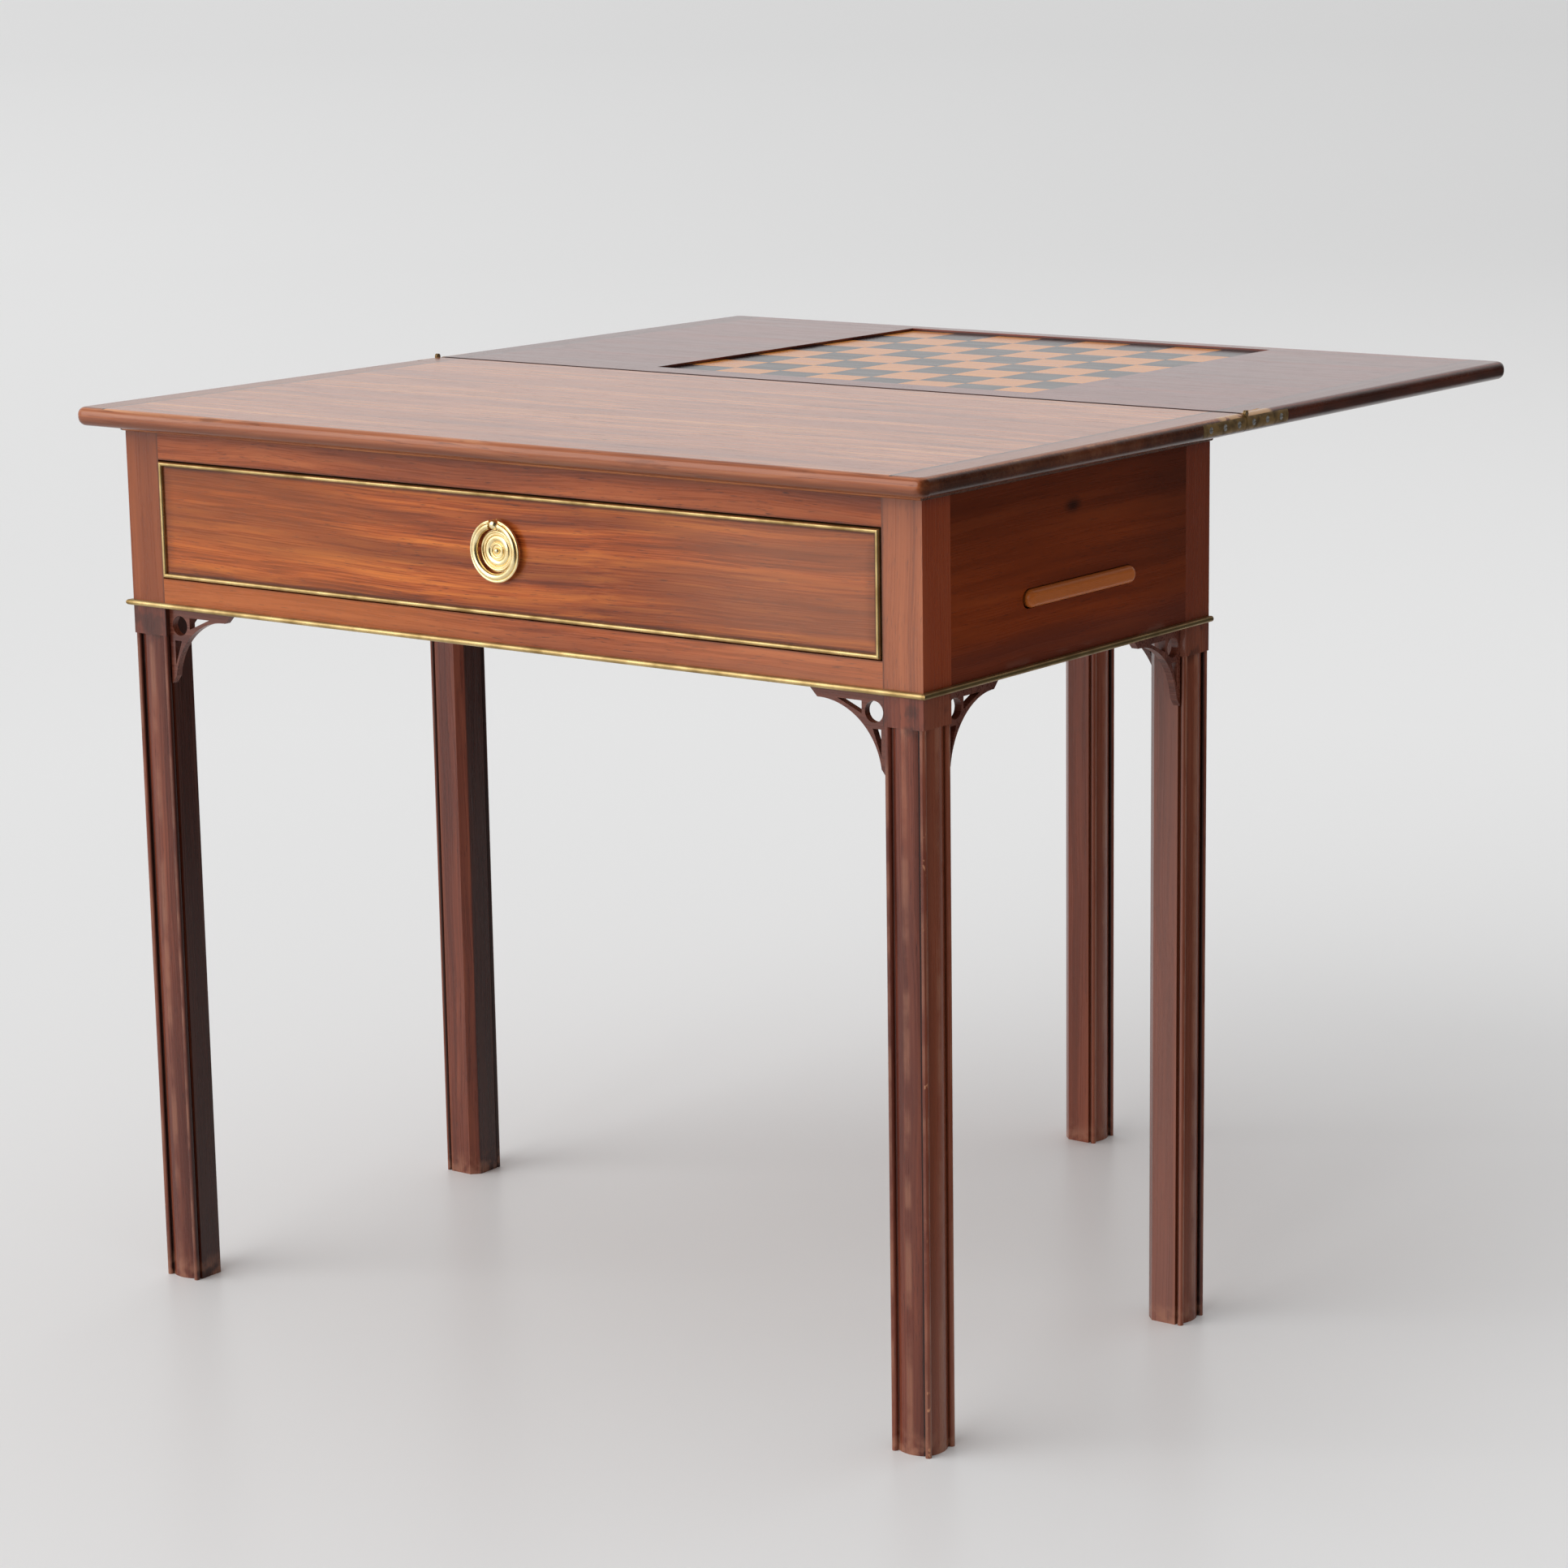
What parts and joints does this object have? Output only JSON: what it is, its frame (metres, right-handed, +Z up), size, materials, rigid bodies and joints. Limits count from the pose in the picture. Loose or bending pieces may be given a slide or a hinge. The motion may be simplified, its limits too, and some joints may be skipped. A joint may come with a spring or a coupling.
{
  "type": "games table",
  "caption": "Mahogany games table: hinged top opens to a sunken chess board on a swinging fly leg; drawer with ring pull, side slides, pierced brackets, brass bead.",
  "frame": {"origin": "on the floor below the middle of the joint between the two open leaves", "axes": "+X to the right along the front, +Y from the front to the open leaf behind, +Z up"},
  "size_m": [0.826, 0.876, 0.7326],
  "materials": {
    "mahogany_leg": "french polished, worn at the edges",
    "mahogany_front": "figured veneer, french polished",
    "mahogany_side": "french polished",
    "mahogany_top": "french polished",
    "beech": "planed, unpolished",
    "oak": "planed, unpolished",
    "light_veneer": "polished",
    "dark_veneer": "polished",
    "bead_brass": "aged",
    "pull_brass": "polished",
    "hinge_brass": "dull, aged",
    "steel": "filed"
  },
  "bodies": {
    "frame": {"leg_front_left": "mahogany_leg", "leg_front_right": "mahogany_leg", "leg_rear_left": "mahogany_leg", "leg_rear_right": "mahogany_leg", "bracket_front_left_front": "mahogany_leg", "bracket_front_right_front": "mahogany_leg", "bracket_rear_right_rear": "mahogany_leg", "bracket_front_left_side": "mahogany_leg", "bracket_front_right_side": "mahogany_leg", "bracket_rear_left_side": "mahogany_leg", "bracket_rear_right_side": "mahogany_leg", "front_top_rail": "mahogany_front", "front_bottom_rail": "mahogany_front", "side_rail_left": "mahogany_side", "side_rail_right": "mahogany_side", "rear_rail": "beech", "fly_rail_fixed": "beech", "fly_knuckle_pin": "steel", "bead_front": "bead_brass", "bead_left": "bead_brass", "bead_right": "bead_brass", "drawer_runners": "oak", "drawer_guides": "oak", "drawer_kickers": "oak", "drawer_stops": "oak", "top_screws": "steel", "candle_bearers": "oak", "lower_leaf": "mahogany_top", "hinge_lower_left": "hinge_brass", "hinge_lower_right": "hinge_brass", "hinge_screws_lower": "steel", "hinge_pins": "hinge_brass"},
    "leaf": {"upper_leaf": "mahogany_top", "chess_ground": "oak", "chess_dark_squares": "dark_veneer", "chess_light_squares": "light_veneer", "hinge_upper_left": "hinge_brass", "hinge_upper_right": "hinge_brass", "hinge_screws_upper": "steel"},
    "drawer": {"drawer_front": "mahogany_front", "cockbead_top": "bead_brass", "cockbead_bottom": "bead_brass", "cockbead_left": "bead_brass", "cockbead_right": "bead_brass", "drawer_side_left": "oak", "drawer_side_right": "oak", "drawer_back": "oak", "drawer_bottom": "oak", "pull_backplate": "pull_brass", "pull_post": "pull_brass", "pull_nut": "pull_brass"},
    "ring": {"pull_ring": "pull_brass"},
    "gate": {"fly_rail": "beech", "fly_leg": "mahogany_leg"},
    "slide_left": {"candle_slide_left": "mahogany_side", "candle_peg_left": "oak"},
    "slide_right": {"candle_slide_right": "mahogany_side", "candle_peg_right": "oak"}
  },
  "joints": [
    {"name": "leaf_fold", "type": "hinge", "parent": "frame", "child": "leaf", "pos_m": [0, 0, 0.73025], "axis": [1, 0, 0], "range_deg": [0, 180]},
    {"name": "drawer_slide", "type": "slide", "parent": "frame", "child": "drawer", "axis": [0, -1, 0], "range_m": [0, 0.25]},
    {"name": "ring_lift", "type": "hinge", "parent": "drawer", "child": "ring", "pos_m": [0, -0.4095, 0.6635], "axis": [-1, 0, 0], "range_deg": [0, 110]},
    {"name": "gate_swing", "type": "hinge", "parent": "frame", "child": "gate", "pos_m": [0.047, -0.0255, 0.64], "axis": [0, 0, 1], "range_deg": [0, 90]},
    {"name": "slide_left_pull", "type": "slide", "parent": "frame", "child": "slide_left", "axis": [-1, 0, 0], "range_m": [0, 0.113]},
    {"name": "slide_right_pull", "type": "slide", "parent": "frame", "child": "slide_right", "axis": [1, 0, 0], "range_m": [0, 0.113]}
  ]
}
